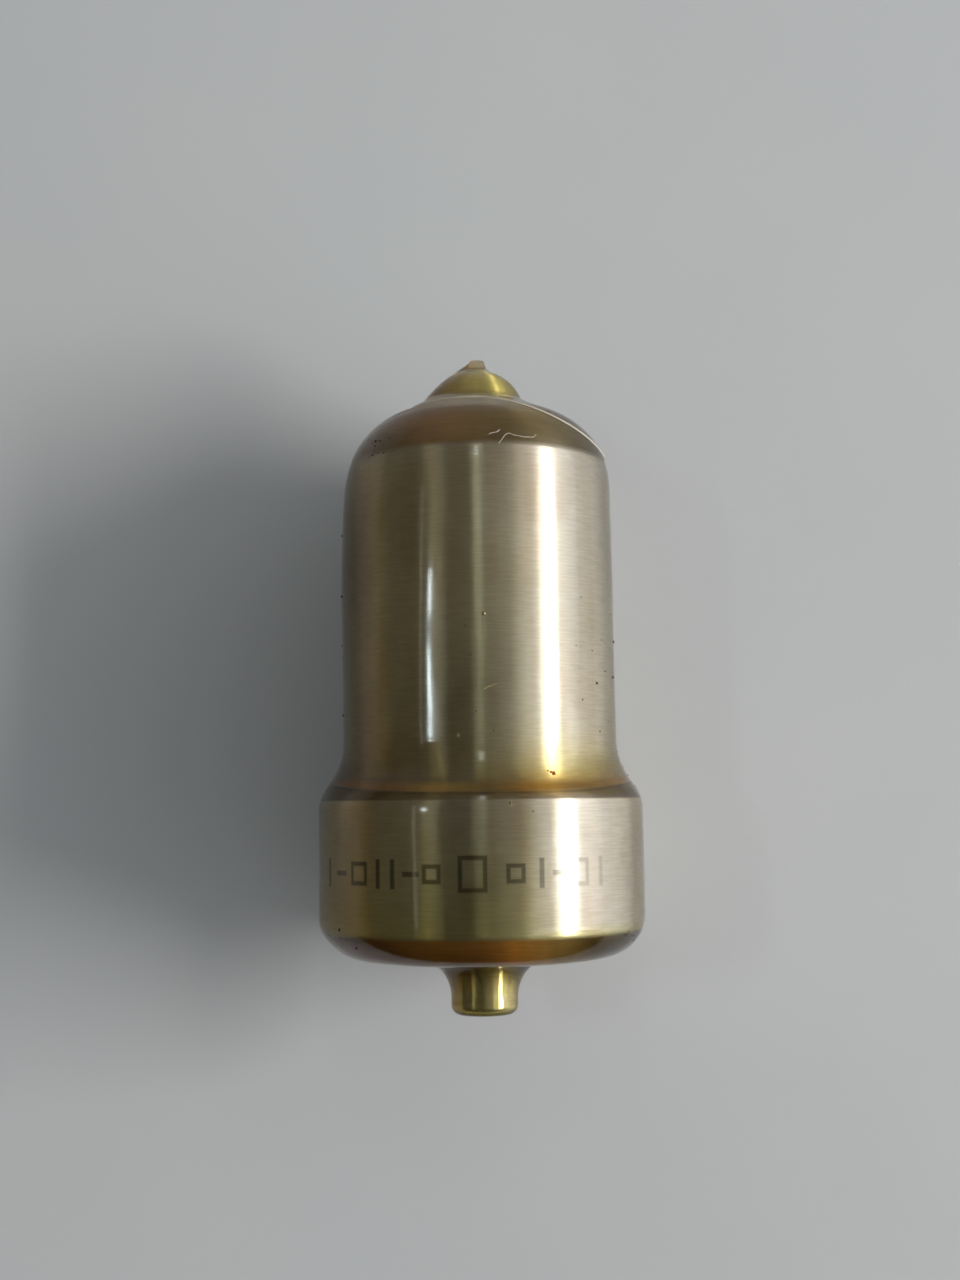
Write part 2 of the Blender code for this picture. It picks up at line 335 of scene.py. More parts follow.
def smooth(value, start, end):
    """0 before start, 1 after end, and an even rise between them."""
    share = min(1, max(0, (value - start) / (end - start)))
    return share * share * (3 - 2 * share)


def bump(value, centre, half_width):
    """1 at the centre, falling evenly to 0 at half_width from it."""
    return 1 - smooth(abs(value - centre), 0, half_width)


def ridge_place(angle):
    """Where the crease at the dome's foot lies: level over the top, and lower down the cone towards +X."""
    return (RIDGE_TOP - RIDGE_DROP * smooth(angle, 0, 90)) * MM


def stretch(along, rise_from, rise_to, fall_from, fall_to):
    """1 on a stretch of the nozzle's length, with an even rise and fall at its ends, all four in mm."""
    rise = smooth(along, rise_from * MM, rise_to * MM)
    return rise * (1 - smooth(along, fall_from * MM, fall_to * MM))


def swelling(along, angle):
    """How much thicker the coating is, in mm, where it ran together on the -X side and at its marks."""
    side = smooth(-angle, 8, 42) * (1 - smooth(-angle, 100, 150))
    run = 0.15 * side * stretch(along, 0.2, 1.5, 24, 27)
    blister = 0.1 * bump(angle, -88, 50) * bump(along, 20 * MM, 6.5 * MM)
    crease = 0.09 * bump(along, ridge_place(angle), 0.14 * MM) * (1 - smooth(abs(angle + 10), 95, 125))
    drip_line = 0.016 * bump(angle, 44.4, 1.9) * stretch(along, 14.5, 17, 25.5, 26.5)
    low_dent = 0.022 * bump(angle, -17.5, 9) * stretch(along, 9, 12, 18, 22)
    high_dent = 0.02 * bump(angle, -1, 10) * stretch(along, 15, 18, 24, 26.5)
    return run + blister + crease + drip_line - (low_dent + high_dent)


def tent_radius(along):
    """The slope that the coating drew out to on the tip's -X side, from the cone up to the nib."""
    above = along / MM - 30
    return (3.35 - 0.565 * above - 0.189 * above * above) * MM


def film_wave(r, along, angle):
    """Long soft waves in the coating, in mm, drawn out along the axis."""
    spot = Vector((r * math.sin(angle), along, r * math.cos(angle))) / MM
    drawn = Vector((spot.x, spot.y * 0.4, spot.z))
    return (noise.noise(spot * 0.22) * 0.03 + noise.noise(drawn * 0.7) * 0.006) * min(1, r / (2 * MM))


def coating_relief(outer_count):
    """Long soft waves in the coating's outer face, with its swellings and the tent at its tip."""

    def relief(ring, normal, angles):
        step = np.zeros((len(ring), len(angles)))
        tent = np.zeros((len(ring), len(angles)))
        for row in range(outer_count):
            r, along = ring[row]
            for column, angle in enumerate(angles):
                degrees = (math.degrees(angle) + 180) % 360 - 180
                step[row, column] = (film_wave(r, along, angle) + swelling(along, degrees)) * MM
                if 29.9 * MM < along < NIB_END - 0.06 * MM:
                    tent[row, column] = max(0, tent_radius(along) - r) * bump(degrees, -95, 85)
        return normal[:, :1] * step + tent, normal[:, 1:] * step

    return relief


# ---------------------------------------------------------------- materials


class Nodes:
    """Short calls for building the node tree of a material or of the world."""

    def __init__(self, name, world=False):
        self.owner = (bpy.data.worlds if world else bpy.data.materials).new(name)
        self.owner.use_nodes = True
        self.tree = self.owner.node_tree
        self.tree.nodes.clear()
        self.output = self.tree.nodes.new("ShaderNodeOutputWorld" if world else "ShaderNodeOutputMaterial")

    def add(self, kind, inputs=None, **settings):
        node = self.tree.nodes.new(kind)
        for key, value in settings.items():
            setattr(node, key, value)
        for key, value in (inputs or {}).items():
            socket = node.inputs[key]
            if isinstance(value, bpy.types.NodeSocket):
                self.tree.links.new(value, socket)
            else:
                socket.default_value = value
        return node

    def link(self, source, target):
        self.tree.links.new(source, target)

    def math(self, operation, *values):
        node = self.tree.nodes.new("ShaderNodeMath")
        node.operation = operation
        for socket, value in zip(node.inputs, values):
            if isinstance(value, bpy.types.NodeSocket):
                self.link(value, socket)
            else:
                socket.default_value = value
        return node.outputs[0]

    def mix(self, share, first, second, blend="MIX"):
        """A mix of two colours. share is how much of the second."""
        node = self.tree.nodes.new("ShaderNodeMix")
        node.data_type = "RGBA"
        node.blend_type = blend
        for key, value in (("Factor", share), ("A", first), ("B", second)):
            kind = "VALUE" if key == "Factor" else "RGBA"
            socket = next(i for i in node.inputs if i.name == key and i.type == kind)
            if isinstance(value, bpy.types.NodeSocket):
                self.link(value, socket)
            else:
                socket.default_value = value if key == "Factor" else (*value, 1)
        return next(o for o in node.outputs if o.type == "RGBA")

    def fall(self, value, start, end):
        """0 up to start and 1 from end, smoothly."""
        node = self.add("ShaderNodeMapRange", {"Value": value}, interpolation_type="SMOOTHSTEP")
        rising = end > start
        node.inputs["From Min"].default_value = start if rising else end
        node.inputs["From Max"].default_value = end if rising else start
        node.inputs["To Min"].default_value = 0 if rising else 1
        node.inputs["To Max"].default_value = 1 if rising else 0
        return node.outputs["Result"]

    def places(self):
        """The place, then along and the radius in mm, the angle in degrees, and x in mm from the axis."""
        place = self.add("ShaderNodeTexCoord").outputs["Object"]
        parts = self.add("ShaderNodeSeparateXYZ", {"Vector": place})
        x, along, z = (
            self.math("MULTIPLY", self.math("SUBTRACT", parts.outputs[key], start), 1 / MM)
            for key, start in (("X", AXIS_X), ("Y", FACE_Y), ("Z", AXIS_Z))
        )
        square = self.math("ADD", self.math("MULTIPLY", x, x), self.math("MULTIPLY", z, z))
        radius = self.math("SQRT", square)
        angle = self.math("MULTIPLY", self.math("ARCTAN2", x, z), 180 / math.pi)
        return place, along, radius, angle, x

    def noise(self, place, scale, detail):
        """An even noise from 0 to 1. scale is one number or three."""
        if isinstance(scale, tuple):
            place = self.add("ShaderNodeMapping", {"Vector": place, "Scale": scale}).outputs["Vector"]
            scale = 1
        settings = {"Vector": place, "Scale": scale, "Detail": detail}
        return self.add("ShaderNodeTexNoise", settings).outputs["Fac"]

    def bumped(self, height, strength, distance):
        """A normal tilted by a height from 0 to 1 that stands for distance in mm."""
        settings = {"Height": height, "Strength": strength, "Distance": distance * MM}
        return self.add("ShaderNodeBump", settings).outputs["Normal"]

    def surface(self, **sockets):
        """A Principled surface as the material's output. Names of sockets have _ for a space."""
        settings = {key.replace("_", " "): value for key, value in sockets.items()}
        shader = self.add("ShaderNodeBsdfPrincipled", settings)
        self.link(shader.outputs["BSDF"], self.output.inputs["Surface"])
        return self.owner

    def ramp(self, source, stops):
        """A colour from (place, colour) stops, for a source from 0 to 1."""
        node = self.add("ShaderNodeValToRGB", {"Fac": source})
        elements = node.color_ramp.elements
        while len(elements) < len(stops):
            elements.new(0.5)
        for element, (place, colour) in zip(elements, stops):
            element.position = place
            element.color = (*colour, 1)
        return node.outputs["Color"]


# Plain marks around the collar: (angle, half width in mm, half height in mm, hollow)
MARKS = [
    (-66, 0.13, 0.75, False),
    (-57, 0.45, 0.13, False),
    (-47, 0.50, 0.50, True),
    (-38, 0.13, 0.75, False),
    (-32, 0.13, 0.75, False),
    (-25, 0.45, 0.13, False),
    (-17.5, 0.38, 0.38, True),
    (-3.5, 0.62, 0.80, True),
    (11, 0.38, 0.38, True),
    (20, 0.13, 0.75, False),
    (27, 0.45, 0.13, False),
    (35, 0.40, 0.60, True),
    (44, 0.13, 0.75, False),
]
MARKS_ALONG, MARK_LINE, MARK_EDGE = 4.45, 0.11, 0.05


def etched_marks(n, along, angle):
    """1 on a row of plain bars, dashes and squares around the collar."""
    v = n.math("ABSOLUTE", n.math("SUBTRACT", along, MARKS_ALONG))
    per_degree = COLLAR_R / MM * math.pi / 180
    total = None
    for centre, half_width, half_height, hollow in MARKS:
        u = n.math("MULTIPLY", n.math("ABSOLUTE", n.math("SUBTRACT", angle, centre)), per_degree)
        off = n.math("MAXIMUM", n.math("SUBTRACT", u, half_width), n.math("SUBTRACT", v, half_height))
        if hollow:
            off = n.math("SUBTRACT", n.math("ABSOLUTE", off), MARK_LINE)
        mark = n.fall(off, MARK_EDGE, -MARK_EDGE)
        total = mark if total is None else n.math("MAXIMUM", total, mark)
    return total


def grind(n, place, strength):
    """Fine rings around the axis with breaks in them: a shade from 0 to 1 and a bumped normal."""
    shade = n.noise(place, (900, 12000, 900), 3)
    height = n.noise(place, (700, 9000, 700), 1)
    return shade, n.bumped(height, strength, 0.01)


def finish_steel(n, colour, roughness, normal):
    """Steel whose highlights spread along the axis, across the grinding."""
    tangent = n.add("ShaderNodeTangent", direction_type="RADIAL", axis="Y")
    return n.surface(
        Base_Color=colour,
        Metallic=0.9,
        Roughness=roughness,
        Anisotropic=1.0,
        Anisotropic_Rotation=0.25,
        Normal=normal,
        Tangent=tangent.outputs["Tangent"],
    )


# Brown stains with painted glow and painted shade over them, and painted shade on the collar and tip, from
# the -X side to the +X side: (mm from the middle, colour)
# Painted glow and shade over a brown stain: an orange peak just +X of the middle, and near black further
# towards +X.
CHAMFER_STAIN_AND_PAINTED_GLOW = [
    (-7, (0.42, 0.22, 0.12)),
    (-3, (0.55, 0.32, 0.18)),
    (0, (0.60, 0.34, 0.19)),
    (1.5, (0.85, 0.45, 0.20)),
    (2.4, (0.56, 0.34, 0.19)),
    (3.5, (0.22, 0.15, 0.09)),
    (5.5, (0.11, 0.08, 0.055)),
    (8, (0.20, 0.16, 0.13)),
]
# Painted glow over a brown stain: bright orange on the -X side of the corner at the collar.
CORNER_STAIN_AND_PAINTED_GLOW = [
    (-7, (0.95, 0.66, 0.36)),
    (-2, (0.95, 0.80, 0.50)),
    (0.2, (0.50, 0.44, 0.30)),
    (2.2, (0.70, 0.52, 0.26)),
    (4, (0.34, 0.27, 0.16)),
    (5.5, (0.62, 0.50, 0.34)),
    (7, (0.90, 0.76, 0.56)),
]
# Painted shade over a brown stain: tan on the -X side of the nose, dark brown towards +X.
NOSE_STAIN_AND_PAINTED_SHADE = [
    (-4.5, (0.52, 0.42, 0.28)),
    (-2.8, (0.56, 0.38, 0.19)),
    (-1, (0.48, 0.34, 0.18)),
    (1, (0.32, 0.26, 0.14)),
    (2.4, (0.26, 0.22, 0.13)),
    (4, (0.24, 0.21, 0.14)),
]
# Painted shade: the steel of the collar and of the shank near it is darkest just -X of the middle and lighter
# to both sides.
COLLAR_PAINTED_SHADE = [
    (-8, (0.78, 0.77, 0.78)),
    (-5, (0.66, 0.65, 0.65)),
    (-1.5, (0.42, 0.41, 0.41)),
    (2.5, (0.66, 0.65, 0.66)),
    (6, (0.82, 0.81, 0.83)),
]
# Painted shade: the tip is lighter on the -X side and darker towards +X, which dims its highlight.
TIP_PAINTED_SHADE = [
    (-1.6, (0.92, 0.87, 0.70)),
    (0, (0.88, 0.84, 0.74)),
    (0.7, (0.62, 0.60, 0.50)),
    (2, (0.66, 0.63, 0.52)),
]
# The second colour is painted shade: a dark line on the shoulder face between collar and shank.
BRIGHT_STEEL, SHOULDER_PAINTED_SHADE = (0.67, 0.66, 0.68), (0.34, 0.31, 0.28)
STEEL_ROUGH = [
    (0, 0.7),
    (1.2, 0.7),
    (1.35, 0.34),
    (8.1, 0.34),
    (8.2, 0.6),
    (8.6, 0.7),
    (9.2, 0.34),
    (26.4, 0.34),
    (26.8, 0.85),
    (29.7, 0.85),
    (30.0, 0.5),
]


def across(n, x, stops):
    """A colour that changes from one side of the nozzle to the other."""
    width = 2 * COLLAR_R / MM
    share = n.math("ADD", n.math("DIVIDE", x, width), 0.5)
    return n.ramp(share, [(mm / width + 0.5, colour) for mm, colour in stops])


def band(n, value, rise_from, rise_to, fall_from, fall_to):
    """1 on a band of a value, with a smooth rise and fall at its ends."""
    return n.math("MULTIPLY", n.fall(value, rise_from, rise_to), n.fall(value, fall_to, fall_from))


def stains_and_painted_shade(n, along, radius, x):
    """The ground steel's colour: brown stains at the chamfer, in the corner at the collar and on the nose,
    with painted glow and shade over them, and painted shade on the collar, its shoulder and the tip.
    """
    base = n.mix(n.fall(along, 20.0, 13.0), BRIGHT_STEEL, across(n, x, COLLAR_PAINTED_SHADE))
    base = n.mix(band(n, along, 8.05, 8.15, 8.25, 8.35), base, SHOULDER_PAINTED_SHADE)
    on_chamfer = n.math("MULTIPLY", n.fall(along, 1.3, 1.1), n.fall(radius, 6.8, 7.1))
    base = n.mix(on_chamfer, base, across(n, x, CHAMFER_STAIN_AND_PAINTED_GLOW))
    base = n.mix(band(n, along, 8.25, 8.35, 8.5, 9.0), base, across(n, x, CORNER_STAIN_AND_PAINTED_GLOW))
    base = n.mix(band(n, along, 26.4, 26.8, 29.7, 30.0), base, across(n, x, NOSE_STAIN_AND_PAINTED_SHADE))
    return n.mix(n.fall(along, 29.7, 30.0), base, across(n, x, TIP_PAINTED_SHADE))


def ground_steel():
    """Steel ground around its axis, patchy, with faint marks on the collar."""
    n = Nodes("ground_steel")
    place, along, radius, angle, x = n.places()
    shade, normal = grind(n, place, 0.13)
    base = stains_and_painted_shade(n, along, radius, x)
    cloud = n.noise(place, (260, 160, 260), 5)
    base = n.mix(n.math("MULTIPLY", n.fall(cloud, 0.38, 0.68), 0.8), base, (0.80, 0.75, 0.69), "MULTIPLY")
    base = n.mix(n.fall(shade, 0.35, 0.65), n.mix(1.0, base, (0.89, 0.88, 0.86), "MULTIPLY"), base)
    # The marks fade out towards +X, a painted wash of the highlight on that side.
    on_collar = n.math("MULTIPLY", n.fall(radius, 8.2, 8.4), n.fall(x, 8.0, 0.0))
    depth = n.math("ADD", n.math("MULTIPLY", on_collar, 0.6), 0.15)
    etched = n.math("MULTIPLY", etched_marks(n, along, angle), depth)
    base = n.mix(etched, base, (0.05, 0.04, 0.03))
    share = n.math("DIVIDE", along, BODY_END / MM)
    rough = n.ramp(share, [(mm * MM / BODY_END, (level,) * 3) for mm, level in STEEL_ROUGH])
    return finish_steel(n, base, rough, normal)


def lapped_steel():
    n = Nodes("lapped_steel")
    place = n.places()[0]
    shade, normal = grind(n, place, 0.08)
    base = n.mix(n.fall(shade, 0.35, 0.65), (0.62, 0.60, 0.53), (0.72, 0.70, 0.63))
    return finish_steel(n, base, n.math("ADD", 0.2, n.math("MULTIPLY", shade, 0.08)), normal)


# The coating's tint along the nozzle: (mm from the sealing face, colour)
TINT_ALONG = [
    (-3.4, (0.95, 0.85, 0.34)),
    (-0.6, (0.92, 0.82, 0.50)),
    (1.4, (0.97, 0.95, 0.45)),
    (4.5, (0.97, 0.95, 0.62)),
    (8.2, (0.97, 0.95, 0.78)),
    (9.2, (0.96, 0.90, 0.60)),
    (12.5, (0.98, 0.955, 0.76)),
    (26.0, (0.98, 0.955, 0.77)),
    (27.2, (0.96, 0.90, 0.74)),
    (29.6, (0.96, 0.91, 0.76)),
    (30.2, (1.0, 0.94, 0.40)),
    (32.0, (1.0, 0.92, 0.42)),
    (32.3, (0.74, 0.64, 0.52)),
]
# Its tint around the nozzle, browner and darker towards -X partly from the thicker run and partly as painted
# shade, nearly clear towards +X as painted sheen: (angle in degrees, colour)
TINT_AROUND_WITH_PAINTED_SHADE = [
    (-180, (0.98, 0.93, 0.85)),
    (-100, (0.95, 0.80, 0.66)),
    (-68, (0.84, 0.68, 0.52)),
    (-52, (0.68, 0.55, 0.43)),
    (-38, (0.98, 0.88, 0.76)),
    (0, (0.99, 0.96, 0.92)),
    (30, (1, 0.99, 1)),
    (120, (1, 0.98, 0.97)),
    (180, (0.98, 0.93, 0.85)),
]


def coating_tint(n, place, along, angle):
    """The coating's tint. It is nearly clear on the +X side of collar and shank as a painted sheen for the
    window side, darker and browner towards -X partly as painted shade, and orange in the corner at the collar
    as a painted glow.
    """
    length = (NIB_END - COAT_PIN_END) / MM
    share = n.math("DIVIDE", n.math("SUBTRACT", along, COAT_PIN_END / MM), length)
    tint = n.ramp(share, [((mm - COAT_PIN_END / MM) / length, colour) for mm, colour in TINT_ALONG])
    flanks = n.math("ADD", band(n, along, 1.0, 2.0, 8.2, 8.6), band(n, along, 9.5, 13.0, 26.0, 27.0))
    # Painted sheen: the coating is nearly clear where the window lights the +X flanks.
    clear = n.math("MULTIPLY", band(n, angle, 8, 30, 100, 130), flanks)
    tint = n.mix(clear, tint, (0.99, 0.98, 0.99))
    turn = n.math("ADD", n.math("DIVIDE", angle, 360), 0.5)
    side = n.ramp(turn, [(degrees / 360 + 0.5, colour) for degrees, colour in TINT_AROUND_WITH_PAINTED_SHADE])
    # Painted glow: an orange tint all round the corner at the collar.
    in_corner = band(n, along, 7.8, 8.3, 9.1, 9.8)
    side = n.mix(n.math("MULTIPLY", in_corner, 0.85), side, (0.99, 0.90, 0.80))
    tint = n.mix(1.0, tint, side, "MULTIPLY")
    runs = n.noise(place, (700, 25, 700), 2)
    return n.mix(n.math("MULTIPLY", n.fall(runs, 0.45, 0.7), 0.8), tint, (0.93, 0.85, 0.76), "MULTIPLY")


def coating_haze(n, place, along, angle):
    """How dull the coating is below the crease at the dome's foot, and how cloudy it is there, with a pale
    line on the crease that is a painted highlight.
    """
    ridge = n.math("SUBTRACT", RIDGE_TOP, n.math("MULTIPLY", n.fall(angle, 0, 90), RIDGE_DROP))
    below = n.math("SUBTRACT", ridge, along)
    haze = n.math("MULTIPLY", band(n, below, 0.0, 0.15, 0.5, 1.1), band(n, angle, -95, -60, -15, 40))
    # The pale line on the crease is a painted highlight.
    line = n.fall(n.math("ABSOLUTE", below), 0.12, 0.02)
    line = n.math("MULTIPLY", line, band(n, angle, -110, -80, 90, 115))
    streaks = n.math("ADD", 0.45, n.math("MULTIPLY", n.noise(place, (1500, 500, 1500), 2), 0.5))
    cloudy_and_highlight = n.math("MAXIMUM", n.math("MULTIPLY", haze, streaks), n.math("MULTIPLY", line, 1.4))
    return haze, n.math("MULTIPLY", cloudy_and_highlight, 0.3)


def amber_coating():
    """Clear amber coating. Its inner side is wetted on the steel, so there light goes through unbent."""
    n = Nodes("amber_coating")
    place, along, _, angle, _ = n.places()
    haze, cloudy_and_highlight = coating_haze(n, place, along, angle)
    volume = n.add("ShaderNodeVolumeAbsorption", {"Color": (0.9, 0.74, 0.0, 1), "Density": ABSORPTION})
    n.link(volume.outputs["Volume"], n.output.inputs["Volume"])
    return n.surface(
        Base_Color=n.mix(cloudy_and_highlight, coating_tint(n, place, along, angle), (0.85, 0.82, 0.74)),
        Roughness=n.math("ADD", 0.11, n.math("MULTIPLY", haze, 0.4)),
        IOR=1.42,
        Transmission_Weight=n.math("SUBTRACT", 1.0, cloudy_and_highlight),
        Alpha=n.add("ShaderNodeAttribute", attribute_name="outer_side").outputs["Fac"],
        Normal=n.bumped(n.noise(place, 900, 2), 0.25, 0.006),
    )


def bubble_air():
    """Air in the coating: it bends light the other way."""
    n = Nodes("bubble_air")
    grain = n.noise(n.places()[0], 9000, 2)
    colour = n.mix(grain, (0.9, 0.9, 0.88), (1, 1, 1))
    return n.surface(Base_Color=colour, Roughness=0.1, IOR=0.68, Transmission_Weight=1.0)


def matt(name, dark, light, roughness, scale):
    """A dull material whose colour is mottled between two."""
    n = Nodes(name)
    grain = n.noise(n.places()[0], scale, 4)
    return n.surface(Base_Color=n.mix(n.fall(grain, 0.35, 0.65), dark, light), Roughness=roughness)


def tabletop():
    """Pale grey laminate with a faint mottle and a fine satin texture."""
    n = Nodes("pale_laminate")
    place = n.add("ShaderNodeTexCoord").outputs["Object"]
    cloud = n.noise(place, 35, 5)
    colour = n.mix(n.fall(cloud, 0.3, 0.7), (0.495, 0.505, 0.52), (0.515, 0.52, 0.53))
    rough = n.math("ADD", 0.32, n.math("MULTIPLY", cloud, 0.08))
    return n.surface(Base_Color=colour, Roughness=rough, Normal=n.bumped(n.noise(place, 3000, 2), 0.15, 0.02))


# ---------------------------------------------------------------- pieces


def make_body():
    body = turned("nozzle_body_steel", body_profile(), BODY_SEGMENTS, True)
    drill_ducts(body)
    body.data.set_sharp_from_angle(angle=math.radians(40))
    body.data.materials.append(ground_steel())
    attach(body, "nozzle")
    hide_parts("nozzle_body")


def make_needle():
    needle = turned("needle_valve_steel", needle_profile(), NEEDLE_SEGMENTS, False)
    needle.data.set_sharp_from_angle(angle=math.radians(40))
    needle.data.materials.append(lapped_steel())
    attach(needle, "needle")
    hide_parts("needle_valve")


def make_coating():
    outside = coating_outside()
    body_side = [point for point in outside if point[1] < FINE_ROWS_FROM]
    tip_side = [point for point in outside if point[1] >= FINE_ROWS_FROM]
    outside = spaced(body_side, 0.14 * MM) + spaced([body_side[-1], *tip_side], 0.05 * MM)[1:]
    inside = coating_inside()
    relief = coating_relief(len(outside))
    coat = turned("peel_coating_film", outside + inside, COAT_SEGMENTS, False, relief, len(outside))
    coat.data.set_sharp_from_angle(angle=math.radians(50))
    coat.data.materials.append(amber_coating())
    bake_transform(coat)
    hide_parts("peel_coating")


# ---------------------------------------------------------------- small things in the coating


def on_nozzle(angle, along, radius):
    """The place at an angle in degrees, and at a radius and a distance from the sealing face in mm."""
    a = math.radians(angle)
    return Vector((AXIS_X, FACE_Y, AXIS_Z)) + Vector((radius * math.sin(a), along, radius * math.cos(a))) * MM


def lumps(name, spots, material, rough):
    """One mesh of small lumps. spots holds (angle, along, radius, size) with sizes in mm."""
    bm = bmesh.new()
    for number, (angle, along, radius, size) in enumerate(spots):
        centre = on_nozzle(angle, along, radius)
        made = bmesh.ops.create_icosphere(bm, subdivisions=3, radius=size * MM)["verts"]
        for vert in made:
            out = vert.co.normalized()
            vert.co *= 1 + rough * noise.noise(out * 1.6 + Vector((number * 7.3, 0, 0)))
            vert.co += centre
    piece = smooth_piece(name, bm)
    piece.data.materials.append(material)
    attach(piece, "nozzle")
    return piece


def fibre(name, points, thickness, material):
    """A fine thread through (angle, along, radius) points."""
    curve = bpy.data.curves.new(name, "CURVE")
    curve.dimensions = "3D"
    curve.bevel_depth = thickness / 2 * MM
    curve.bevel_resolution = 2
    curve.resolution_u = 6
    spline = curve.splines.new("NURBS")
    spline.points.add(len(points) - 1)
    for point, (angle, along, radius) in zip(spline.points, points):
        point.co = (*on_nozzle(angle, along, radius), 1)
    spline.use_endpoint_u = True
    spline.order_u = 3
    piece = placed(name, curve)
    piece.data.materials.append(material)
    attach(piece, "nozzle")
    return piece


def film_radius(angle, along):
    """The radius of the coating's outer face in mm, at an angle in degrees and a distance in mm."""
    distances, radii = zip(*sorted((place / MM, r / MM) for r, place in coating_outside()))
    r = float(np.interp(along, distances, radii))
    return r + swelling(along * MM, angle) + film_wave(r * MM, along * MM, math.radians(angle))


# Where dirt lies: (first and last angle, first and last distance in mm, how many)
DIRT_PATCHES = [
    (-64, -40, 26.4, 27.9, 14),
    (-95, -78, 12.0, 26.0, 14),
    (83, 90, 9.0, 11.2, 3),
    (40, 80, 11.0, 19.0, 12),
    (-70, -48, 0.5, 1.6, 10),
    (54, 72, 0.5, 1.3, 8),
    (80, 90, 8.6, 9.4, 4),
]
# Single lumps: (angle, along, radius, size)
RUST_GRAINS = [(28.5, 9.33, 7.6, 0.10), (27.2, 9.42, 7.62, 0.07), (26.0, 9.5, 7.6, 0.05)]
BUBBLES = [
    (1.7, 17.6, 7.26, 0.11),
    (-4, 15.5, 7.26, 0.08),
    (-9.5, 11.4, 7.26, 0.09),
    (9.5, 7.93, 8.68, 0.09),
    (17, 7.5, 8.68, 0.06),
    (-2, 12.6, 7.26, 0.05),
    (5, 11.6, 7.26, 0.05),
    (-6, 17.0, 7.26, 0.05),
]


def make_specks():
    dirt = matt("dark_dirt", (0.03, 0.015, 0.01), (0.10, 0.05, 0.03), 0.9, 20000)
    rust = matt("rust_grain", (0.28, 0.05, 0.01), (0.45, 0.12, 0.03), 0.8, 15000)
    draw = random.Random(7)
    spots = []
    for first, last, along_first, along_last, count in DIRT_PATCHES:
        for _ in range(count):
            along = along_first + (along_last - along_first) * draw.random()
            angle = first + (last - first) * draw.random()
            size = draw.choice([0.03, 0.035, 0.045, 0.07])
            spots.append((angle, along, film_radius(angle, along) - SUNK, size))
    lumps("coating_dirt", spots, dirt, 0.5)
    lumps("coating_rust_grains", RUST_GRAINS, rust, 0.6)
    lumps("coating_bubbles", BUBBLES, bubble_air(), 0.05)


# Fibres on the coating: (angle, along), and a thread in it: (angle, along, radius)
LONG_FIBRE = [(8.6, 26.45), (10.5, 26.75), (12, 27.02), (14, 27.1), (15.5, 26.98)]
LONG_FIBRE += [(17.5, 26.98), (20, 26.9), (22.5, 26.94), (24.5, 26.9), (26.1, 27.12)]
SHORT_FIBRE = [(5, 27.0), (6.5, 27.12), (8.5, 27.1), (9.6, 27.28)]
THREAD = [(0.5, 13.66, 7.3), (2.5, 13.8, 7.32), (4.5, 13.9, 7.32), (6.5, 14.01, 7.3)]


def make_fibres():
    pale = matt("pale_fibre", (0.34, 0.30, 0.24), (0.55, 0.51, 0.44), 0.6, 9000)
    for name, places in (("coating_fibre", LONG_FIBRE), ("coating_fibre_short", SHORT_FIBRE)):
        points = [(angle, along, film_radius(angle, along) - SUNK) for angle, along in places]
        fibre(name, points, 0.045, pale)
    fibre("coating_thread", THREAD, 0.1, pale)


# ---------------------------------------------------------------- stage


def light(name, size, power, colour, angle, lean, distance=0.6):
    """An area lamp that faces the nozzle.

    angle is off the vertical towards +X and lean towards +Y. size is its width and height as seen from
    the nozzle. All are in degrees. power is its brightness."""
    lamp = bpy.data.lights.new(name, "AREA")
    lamp.shape = "RECTANGLE"
    lamp.size = 2 * distance * math.tan(math.radians(size[0] / 2))
    lamp.size_y = 2 * distance * math.tan(math.radians(size[1] / 2))
    lamp.energy = power * lamp.size * lamp.size_y * math.pi
    lamp.color = colour
    thing = placed(name, lamp)
    a, t = math.radians(angle), math.radians(lean)
    out = Vector((math.sin(a) * math.cos(t), math.sin(t), math.cos(a) * math.cos(t)))
    across = Vector((0, 1, 0)).cross(out).normalized()
    thing.location = Vector((AXIS_X, 0, AXIS_Z)) + out * distance
    thing.rotation_euler = Matrix((across, out.cross(across), out)).transposed().to_euler()
    thing.visible_camera = False
    return thing


# The room's brightness around the nozzle: (degrees off the vertical towards +X, level)
ROOM_LEVELS = [
    (-95, 0.055),
    (-80, 0.115),
    (-45, 0.10),
    (-8, 0.045),
    (8, 0.21),
    (32, 0.4),
    (42, 0.6),
    (54, 1.1),
    (68, 1.6),
    (80, 1.9),
    (92, 2.1),
    (105, 1.2),
]


def cool_grey(level):
    return level * 0.98, level, level * 1.02


def room_light():
    """The world: dark, softly brighter towards the window on the +X side, and even in front and behind."""
    n = Nodes("room", world=True)
    bpy.context.scene.world = n.owner
    parts = n.add("ShaderNodeSeparateXYZ", {"Vector": n.add("ShaderNodeTexCoord").outputs["Generated"]})
    turn = n.math("ARCTAN2", parts.outputs["X"], parts.outputs["Z"])
    share = n.math("ADD", n.math("DIVIDE", turn, 2 * math.pi), 0.5)
    sides = n.ramp(share, [(angle / 360 + 0.5, cool_grey(level)) for angle, level in ROOM_LEVELS])
    ends = n.fall(n.math("ABSOLUTE", parts.outputs["Y"]), 0.5, 0.9)
    colour = n.mix(ends, sides, cool_grey(ENDS))
    background = n.add("ShaderNodeBackground", {"Color": colour, "Strength": 1.0})
    n.link(background.outputs["Background"], n.output.inputs["Surface"])


def make_table():
    bpy.ops.mesh.primitive_plane_add(size=1.6)
    table = bpy.context.object
    table.name = "table"
    table.data.materials.append(tabletop())


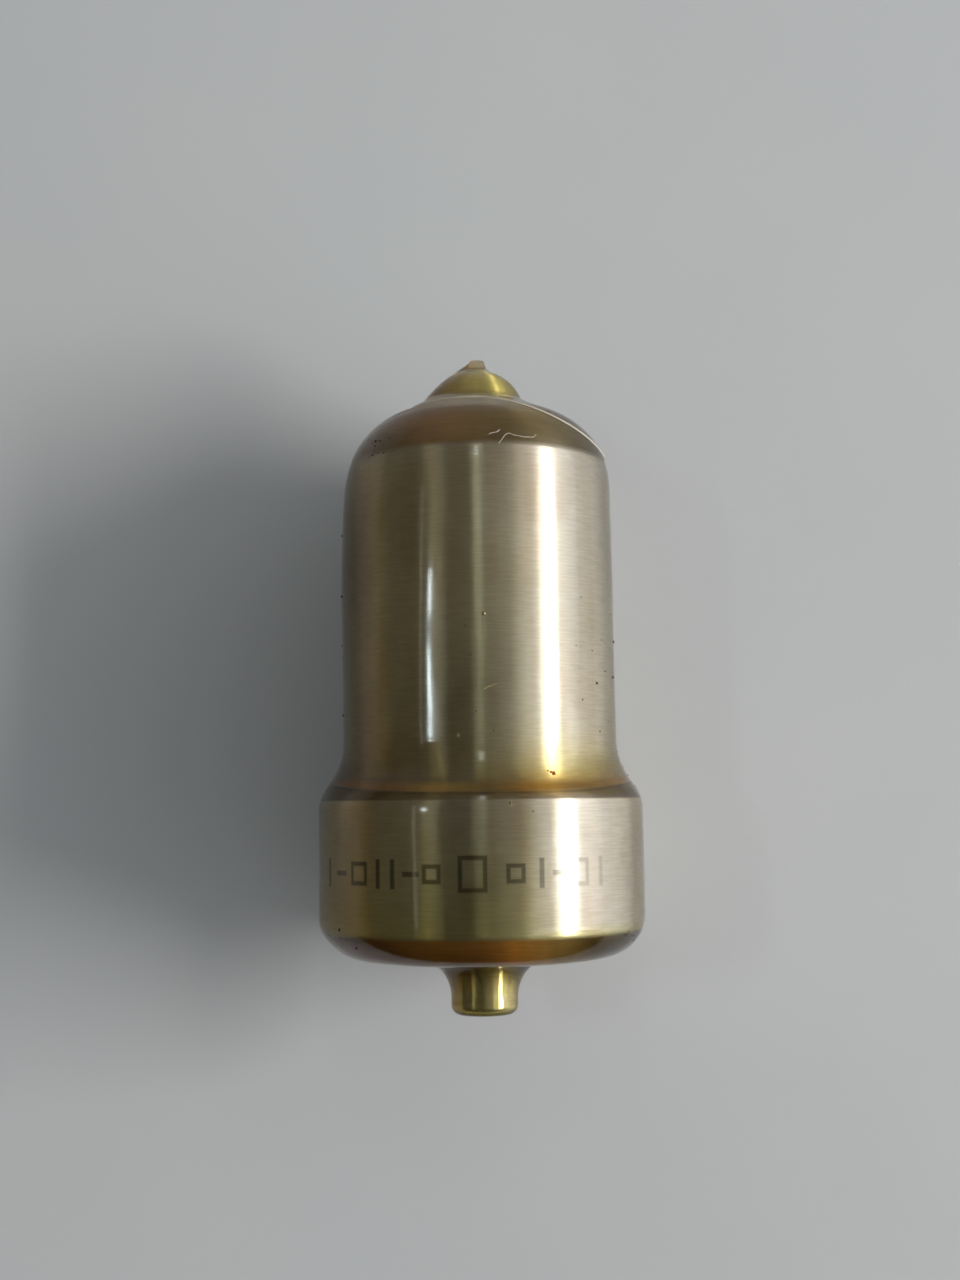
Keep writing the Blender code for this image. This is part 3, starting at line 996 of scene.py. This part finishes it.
def make_flag():
    """A dark board behind the pin end, which only reflections see."""
    bpy.ops.mesh.primitive_plane_add(size=1)
    flag = bpy.context.object
    flag.name = "dark_flag"
    flag.scale = (0.14, 0.05, 1)
    flag.location = (0, -0.04, 0.026)
    flag.rotation_euler = (math.radians(90), 0, 0)
    flag.visible_camera = False
    flag.visible_diffuse = False
    flag.visible_shadow = False
    flag.data.materials.append(matt("dark_cloth", (0.01, 0.008, 0.006), (0.02, 0.014, 0.010), 0.9, 400))


def make_lamps():
    """A tall window on the +X side, and small lamps that draw the streaks on the -X side and on top.

    Only reflections see the window's sheen, and only the table is lit by its fill."""
    light("window", (11.5, 32), KEY, WINDOW_COLOUR, 62, -1)
    sheen = light("window_sheen", (44, 24), 2.7, (1.0, 0.985, 0.96), 58, -29)
    sheen.visible_diffuse = False
    fill = light("window_fill", (14, 32), 4.8, WINDOW_COLOUR, 62, -1)
    fill.visible_glossy = False
    fill.visible_transmission = False
    light("lamp_left", (2.0, 2.0), 70.0, COLD_WHITE, -35, 3.7)
    light("lamp_left_far", (2.0, 1.4), 70.0, COLD_WHITE, -35, 8.2)
    light("strip_left", (1.6, 30), 3.2, (1.0, 0.98, 0.72), -42.5, 0)
    light("overhead", (3.0, 13), 8.0, (0.88, 1.0, 0.95), -1, 31, 0.117)


def make_camera():
    """The camera hangs over the collar and leans towards the tip."""
    height, foot_y, tilt, roll = 89.4 * MM, -7.1 * MM, math.radians(6.0), math.radians(-0.75)
    camera = bpy.data.cameras.new("photo_view")
    camera.sensor_width = 36
    camera.lens = 45.5
    camera.clip_start = 0.005
    camera.clip_end = 10
    thing = placed("photo_view", camera)
    thing.location = (AXIS_X, foot_y, AXIS_Z + height)
    thing.rotation_mode = "QUATERNION"
    tilted = Vector((0, math.sin(tilt), -math.cos(tilt))).to_track_quat("-Z", "Y")
    thing.rotation_quaternion = tilted @ Quaternion((0, 0, 1), roll)
    bpy.context.scene.camera = thing


make_camera()
make_body()
make_needle()
make_coating()
make_specks()
make_fibres()
make_table()
make_flag()
room_light()
make_lamps()
bpy.context.scene.view_settings.view_transform = "Standard"
